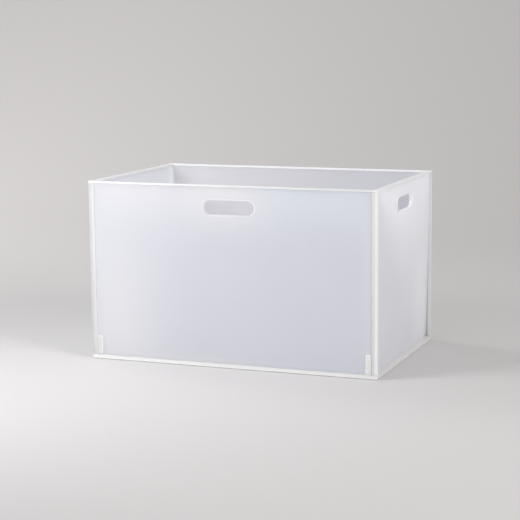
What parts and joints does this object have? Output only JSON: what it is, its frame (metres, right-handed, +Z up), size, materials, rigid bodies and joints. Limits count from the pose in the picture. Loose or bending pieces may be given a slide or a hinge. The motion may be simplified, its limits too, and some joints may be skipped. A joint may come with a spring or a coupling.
{
  "type": "storage box",
  "caption": "Rigid open-top rectangular storage box of frosted translucent plastic, with rounded hand holes, narrow corner posts, a rim frame and a flat base, sized for shoes.",
  "frame": {"origin": "centre of the footprint on the underside of the base", "axes": "+X along the long walls to the right seen from the front, -Y out of the front wall, +Z up"},
  "size_m": [0.4, 0.26, 0.24],
  "materials": {
    "frosted_panel": "frosted, translucent, fine satin texture",
    "base_plate": "frosted, translucent, bright cut edge",
    "edging": "satin translucent, bright edges",
    "corner_key": "frosted, translucent"
  },
  "bodies": {
    "root": {"base_panel": "base_plate", "front_panel": "frosted_panel", "back_panel": "frosted_panel", "left_panel": "frosted_panel", "right_panel": "frosted_panel", "post_front_left": "edging", "post_front_right": "edging", "post_back_right": "edging", "post_back_left": "edging", "rim_frame": "edging", "key_front_left": "corner_key", "key_front_right": "corner_key", "key_back_right": "corner_key", "key_back_left": "corner_key"}
  },
  "joints": []
}
